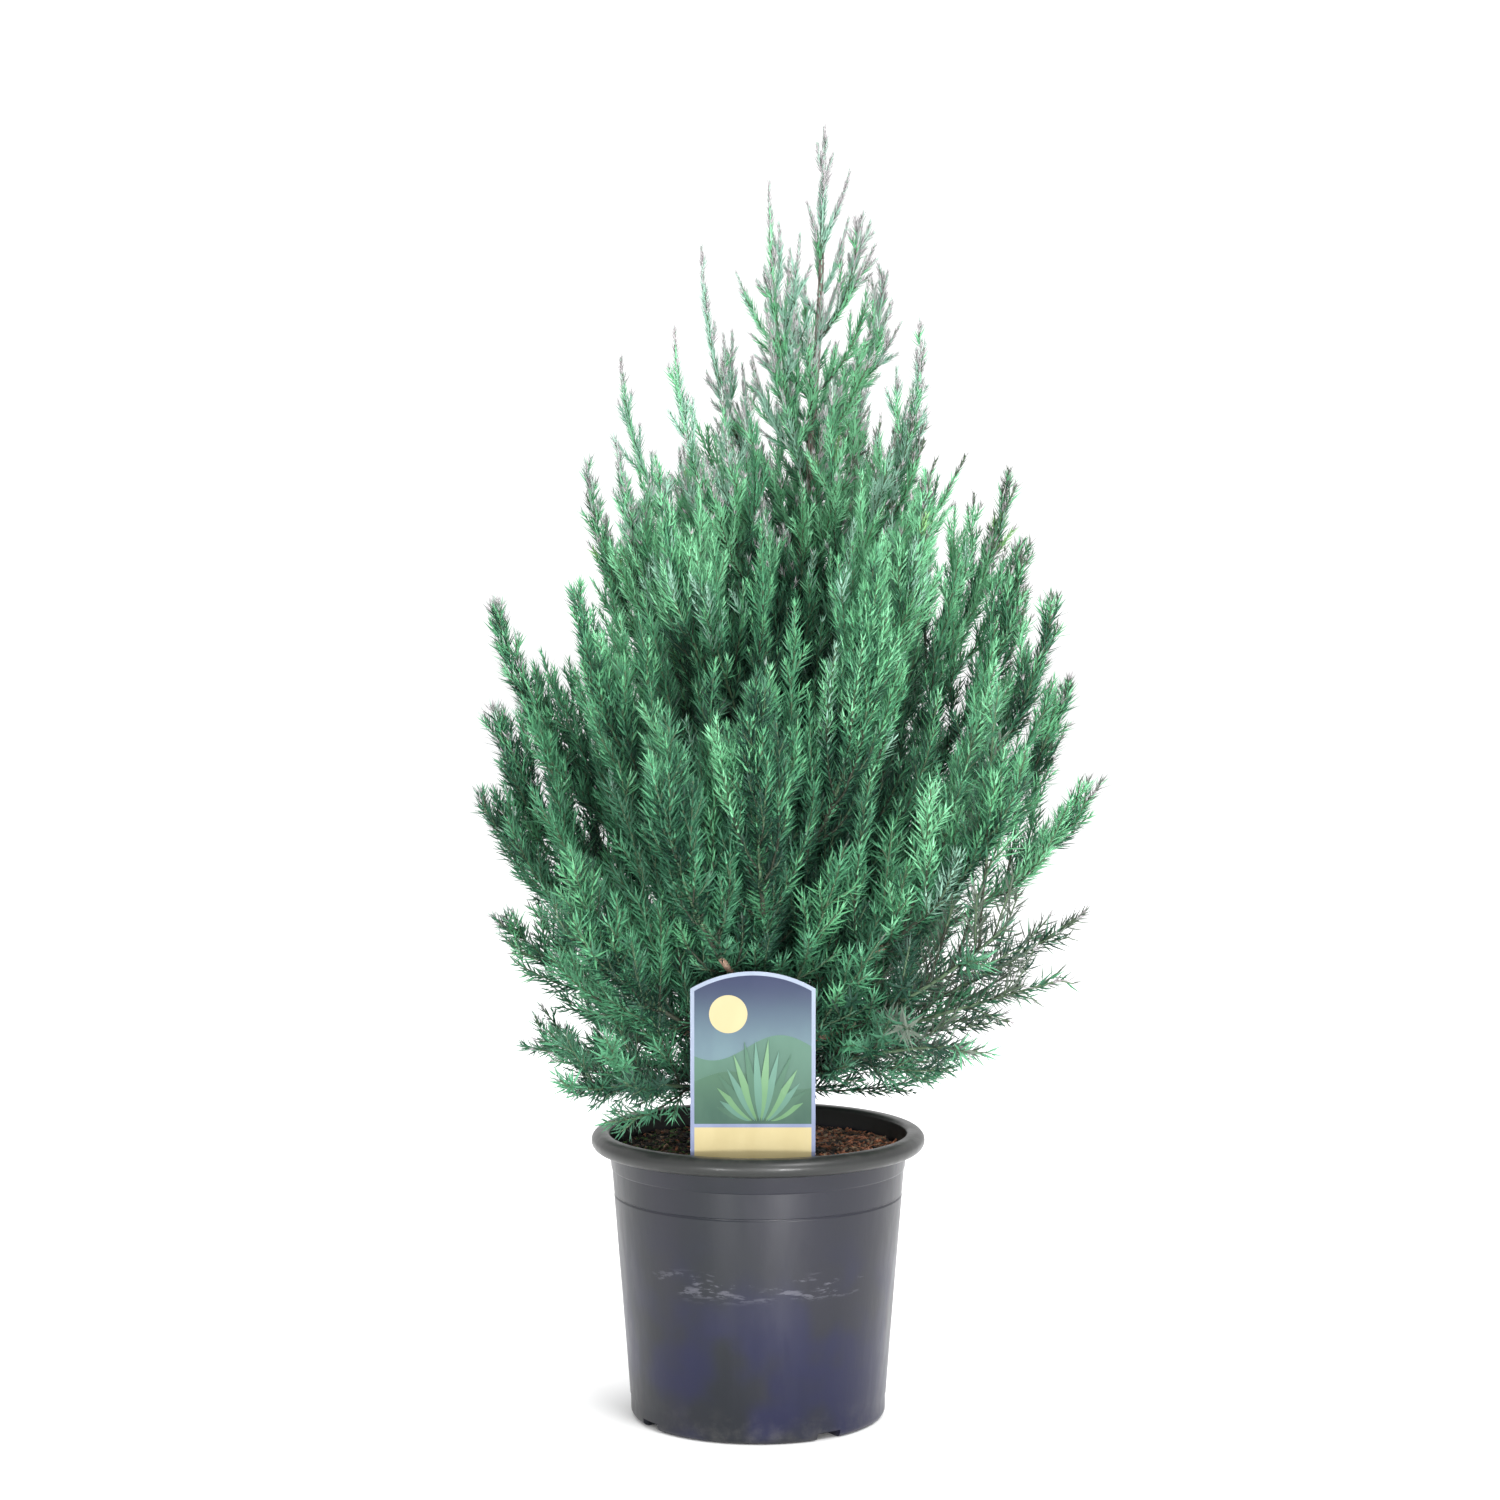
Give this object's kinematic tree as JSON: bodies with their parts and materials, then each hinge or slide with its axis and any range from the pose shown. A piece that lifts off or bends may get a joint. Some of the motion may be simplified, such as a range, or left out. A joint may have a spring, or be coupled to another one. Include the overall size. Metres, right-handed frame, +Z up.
{
  "type": "chinese juniper in a nursery pot",
  "caption": "Young conical Chinese juniper with upright plumes of blue-green needles, in a round plastic nursery pot with soil and a plain plant label.",
  "frame": {"origin": "centre of the pot's flat underside, on the surface that the pot stands on", "axes": "+Z up the plant, +X to the right and -Y towards the viewer, who sees the label"},
  "size_m": [0.3655, 0.3352, 0.728],
  "materials": {
    "bark": "rough, matt",
    "foliage": "matt, waxy",
    "pot_plastic": "satin",
    "compost": "rough, moist",
    "label_card": "satin"
  },
  "bodies": {
    "root": {"pot": "pot_plastic", "soil": "compost", "plant_label": "label_card", "trunk": "bark", "bough_broad_1": "bark", "bough_broad_2": "bark", "bough_broad_3": "bark", "bough_broad_4": "bark", "bough_broad_5": "bark", "bough_broad_6": "bark", "bough_low_1": "bark", "bough_low_2": "bark", "bough_low_3": "bark", "bough_low_4": "bark", "bough_low_5": "bark", "bough_low_6": "bark", "foliage_broad_1": "foliage", "foliage_broad_2": "foliage", "foliage_broad_3": "foliage", "foliage_broad_4": "foliage", "foliage_broad_5": "foliage", "foliage_broad_6": "foliage", "foliage_flank_1": "foliage", "foliage_flank_2": "foliage", "foliage_flank_3": "foliage", "foliage_flank_4": "foliage", "foliage_flank_5": "foliage", "foliage_leader": "foliage", "foliage_low_1": "foliage", "foliage_low_2": "foliage", "foliage_low_3": "foliage", "foliage_low_4": "foliage", "foliage_low_5": "foliage", "foliage_low_6": "foliage", "foliage_middle_1": "foliage", "foliage_middle_2": "foliage", "foliage_middle_3": "foliage", "foliage_middle_4": "foliage", "foliage_middle_5": "foliage", "foliage_middle_6": "foliage", "foliage_shoulder_1": "foliage", "foliage_shoulder_2": "foliage", "foliage_shoulder_3": "foliage", "foliage_shoulder_4": "foliage", "foliage_skirt_1": "foliage", "foliage_skirt_2": "foliage", "foliage_skirt_3": "foliage", "foliage_skirt_4": "foliage", "foliage_skirt_5": "foliage", "foliage_skirt_6": "foliage", "foliage_top_back": "foliage", "foliage_top_left": "foliage", "foliage_top_right": "foliage", "foliage_top_second": "foliage", "foliage_upper_1": "foliage", "foliage_upper_2": "foliage", "foliage_upper_3": "foliage", "foliage_upper_4": "foliage", "foliage_upper_5": "foliage", "foliage_upper_6": "foliage"}
  },
  "joints": []
}
